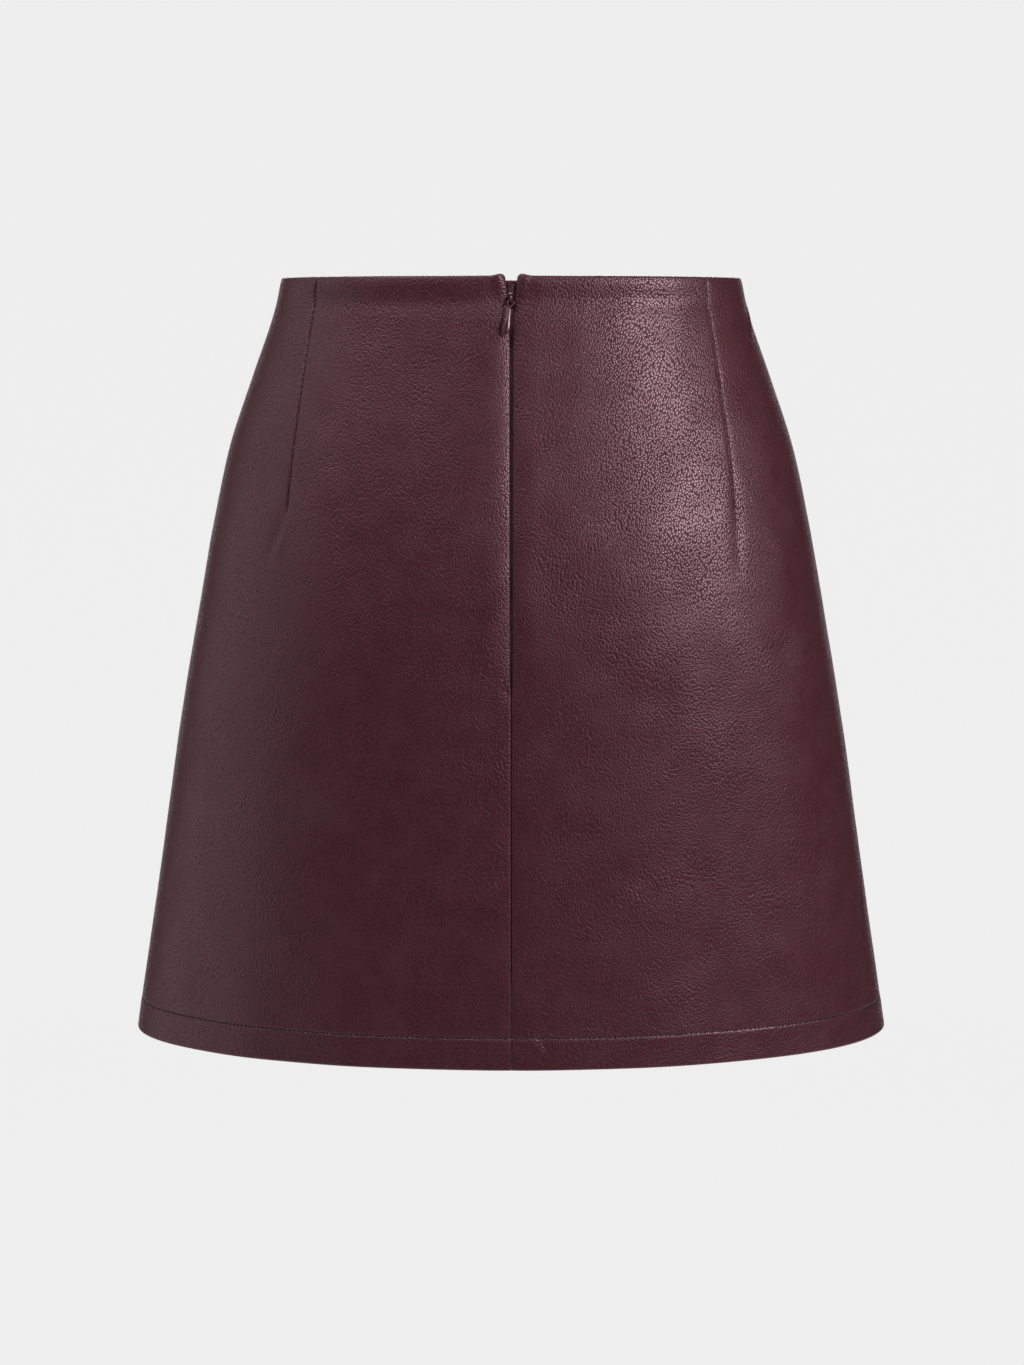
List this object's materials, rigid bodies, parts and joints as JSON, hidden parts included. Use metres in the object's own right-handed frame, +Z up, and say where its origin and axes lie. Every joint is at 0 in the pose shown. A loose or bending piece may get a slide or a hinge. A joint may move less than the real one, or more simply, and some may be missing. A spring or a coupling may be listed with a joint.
{
  "type": "leather mini skirt, worn, held at its waist",
  "caption": "A-line mini skirt of wine-red leather, hollow as worn, with back darts, a concealed centre-back zip with a drop-shaped pull, and a turned, topstitched hem",
  "frame": {"origin": "middle of the waist opening, level with its top edge, where the wearer's waist holds the skirt", "axes": "+Z up, +Y the wearer's front, +X the wearer's right; the zip is at the back, on -Y"},
  "size_m": [0.4115, 0.2783, 0.41],
  "materials": {
    "leather": "fine pebble grain, semi-gloss",
    "leather_back": "brushed knitted backing, matte",
    "thread": "twisted polyester thread",
    "zip_tape": "woven tape, matte",
    "zip_metal": "gloss lacquer"
  },
  "bodies": {
    "skirt": {"front_panel": "leather", "back_panel_left": "leather", "back_panel_right": "leather", "zip_tape_left": "zip_tape", "zip_tape_right": "zip_tape", "zip_slider": "zip_metal", "zip_bottom_stop": "zip_metal"},
    "zip_pull": {"zip_pull_tab": "zip_metal"}
  },
  "joints": [
    {"name": "pull_swing", "type": "hinge", "parent": "skirt", "child": "zip_pull", "pos_m": [0, -0.09152, -0.0128], "axis": [-0.9848, 0.0338, 0.1703], "range_deg": [0, 160]}
  ]
}
